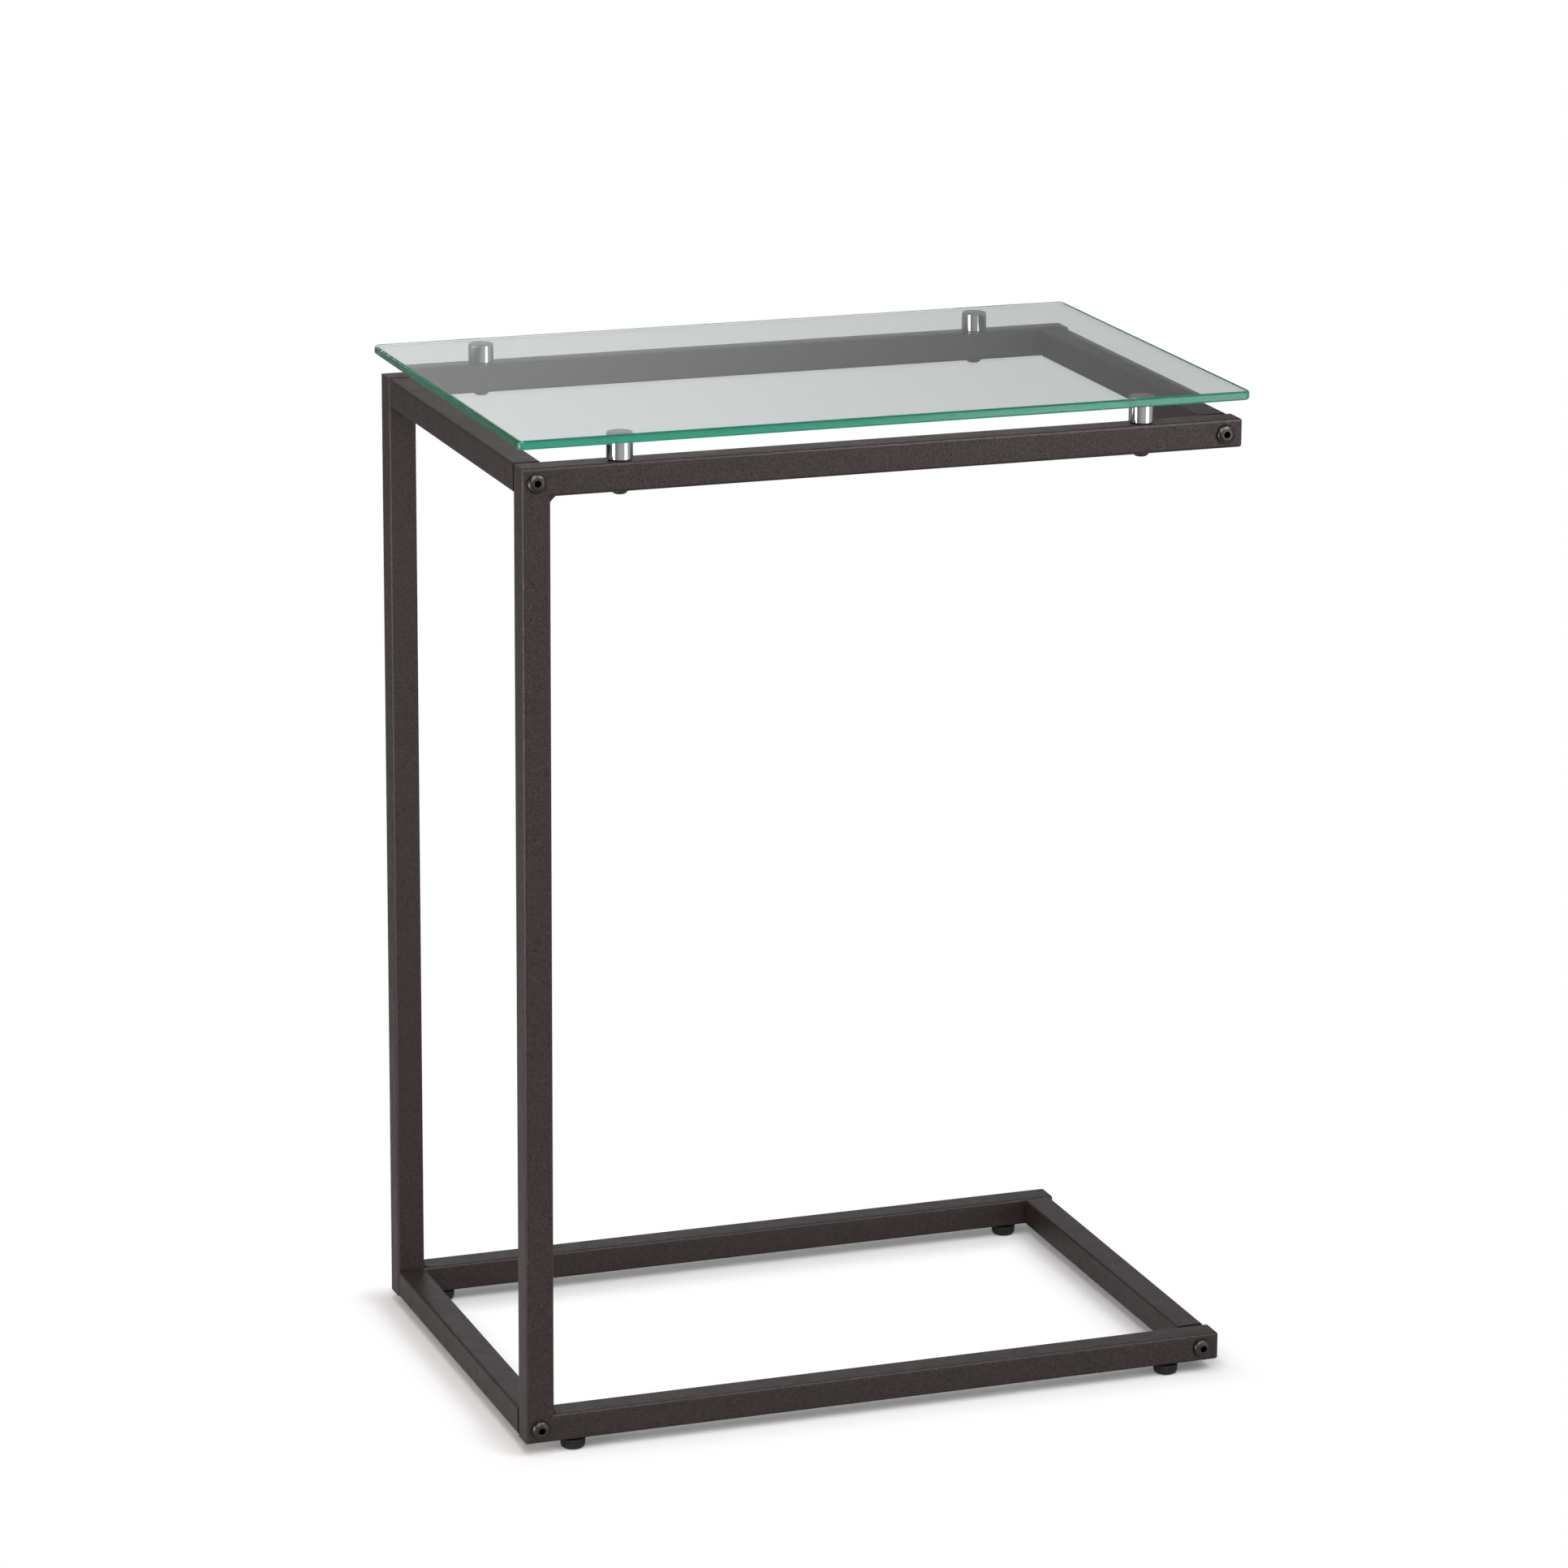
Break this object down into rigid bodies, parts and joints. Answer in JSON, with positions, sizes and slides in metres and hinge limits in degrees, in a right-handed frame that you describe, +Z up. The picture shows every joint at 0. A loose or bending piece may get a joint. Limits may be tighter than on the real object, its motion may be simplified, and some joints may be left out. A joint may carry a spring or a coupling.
{
  "type": "side table",
  "caption": "C-shaped side table: clear glass top on chromed standoffs over a bolted square-tube frame whose base slides under a sofa, with levelling feet.",
  "frame": {"origin": "on the floor below the centre of the glass top, with the levelling feet at the height that the picture shows", "axes": "+X along the arms from the posts towards the open side, +Y across the table from front to rear, +Z up"},
  "size_m": [0.5, 0.325, 0.68],
  "materials": {
    "frame_powder_coat": "fine-textured matt powder coat, brown-black",
    "black_steel": "satin black oxide",
    "zinc_plated_steel": "zinc plated",
    "polished_chrome": "turned and polished",
    "clear_glass": "clear float glass with ground and polished edges",
    "clear_adhesive": "clear cured adhesive",
    "black_plastic": "moulded, fluted side"
  },
  "bodies": {
    "table": {"glass_top": "clear_glass", "front_top_arm": "frame_powder_coat", "front_post": "frame_powder_coat", "front_base_arm": "frame_powder_coat", "front_top_weld": "frame_powder_coat", "front_base_weld": "frame_powder_coat", "front_top_end_plate": "frame_powder_coat", "front_base_end_plate": "frame_powder_coat", "rear_top_arm": "frame_powder_coat", "rear_post": "frame_powder_coat", "rear_base_arm": "frame_powder_coat", "rear_top_weld": "frame_powder_coat", "rear_base_weld": "frame_powder_coat", "rear_top_end_plate": "frame_powder_coat", "rear_base_end_plate": "frame_powder_coat", "top_left_rail": "frame_powder_coat", "top_left_rail_nuts": "frame_powder_coat", "top_left_rail_screws": "black_steel", "top_right_rail": "frame_powder_coat", "top_right_rail_nuts": "frame_powder_coat", "top_right_rail_screws": "black_steel", "base_left_rail": "frame_powder_coat", "base_left_rail_nuts": "frame_powder_coat", "base_left_rail_screws": "black_steel", "base_right_rail": "frame_powder_coat", "base_right_rail_nuts": "frame_powder_coat", "base_right_rail_screws": "black_steel", "front_left_standoff": "polished_chrome", "front_right_standoff": "polished_chrome", "rear_left_standoff": "polished_chrome", "rear_right_standoff": "polished_chrome", "standoff_bonds": "clear_adhesive", "standoff_screws": "black_steel", "front_left_foot_insert": "zinc_plated_steel", "front_right_foot_insert": "zinc_plated_steel", "rear_left_foot_insert": "zinc_plated_steel", "rear_right_foot_insert": "zinc_plated_steel"},
    "front_left_stud": {"front_left_foot_stud": "zinc_plated_steel"},
    "front_left_pad": {"front_left_foot_pad": "black_plastic"},
    "front_right_stud": {"front_right_foot_stud": "zinc_plated_steel"},
    "front_right_pad": {"front_right_foot_pad": "black_plastic"},
    "rear_left_stud": {"rear_left_foot_stud": "zinc_plated_steel"},
    "rear_left_pad": {"rear_left_foot_pad": "black_plastic"},
    "rear_right_stud": {"rear_right_foot_stud": "zinc_plated_steel"},
    "rear_right_pad": {"rear_right_foot_pad": "black_plastic"}
  },
  "joints": [
    {"name": "front_left_foot_travel", "type": "slide", "parent": "table", "child": "front_left_stud", "axis": [0, 0, -1], "range_m": [-0.0005, 0.01]},
    {"name": "front_left_foot_turn", "type": "hinge", "parent": "front_left_stud", "child": "front_left_pad", "pos_m": [-0.2115, -0.1485, 0.0035], "axis": [0, 0, -1], "range_deg": [-180, 3600]},
    {"name": "front_right_foot_travel", "type": "slide", "parent": "table", "child": "front_right_stud", "axis": [0, 0, -1], "range_m": [-0.0005, 0.01]},
    {"name": "front_right_foot_turn", "type": "hinge", "parent": "front_right_stud", "child": "front_right_pad", "pos_m": [0.2115, -0.1485, 0.0035], "axis": [0, 0, -1], "range_deg": [-180, 3600]},
    {"name": "rear_left_foot_travel", "type": "slide", "parent": "table", "child": "rear_left_stud", "axis": [0, 0, -1], "range_m": [-0.0005, 0.01]},
    {"name": "rear_left_foot_turn", "type": "hinge", "parent": "rear_left_stud", "child": "rear_left_pad", "pos_m": [-0.2115, 0.1485, 0.0035], "axis": [0, 0, -1], "range_deg": [-180, 3600]},
    {"name": "rear_right_foot_travel", "type": "slide", "parent": "table", "child": "rear_right_stud", "axis": [0, 0, -1], "range_m": [-0.0005, 0.01]},
    {"name": "rear_right_foot_turn", "type": "hinge", "parent": "rear_right_stud", "child": "rear_right_pad", "pos_m": [0.2115, 0.1485, 0.0035], "axis": [0, 0, -1], "range_deg": [-180, 3600]}
  ],
  "couplings": [
    {"joint": "front_left_foot_turn", "follows": "front_left_foot_travel", "rad_per_m": 6283.2},
    {"joint": "front_right_foot_turn", "follows": "front_right_foot_travel", "rad_per_m": 6283.2},
    {"joint": "rear_left_foot_turn", "follows": "rear_left_foot_travel", "rad_per_m": 6283.2},
    {"joint": "rear_right_foot_turn", "follows": "rear_right_foot_travel", "rad_per_m": 6283.2}
  ]
}
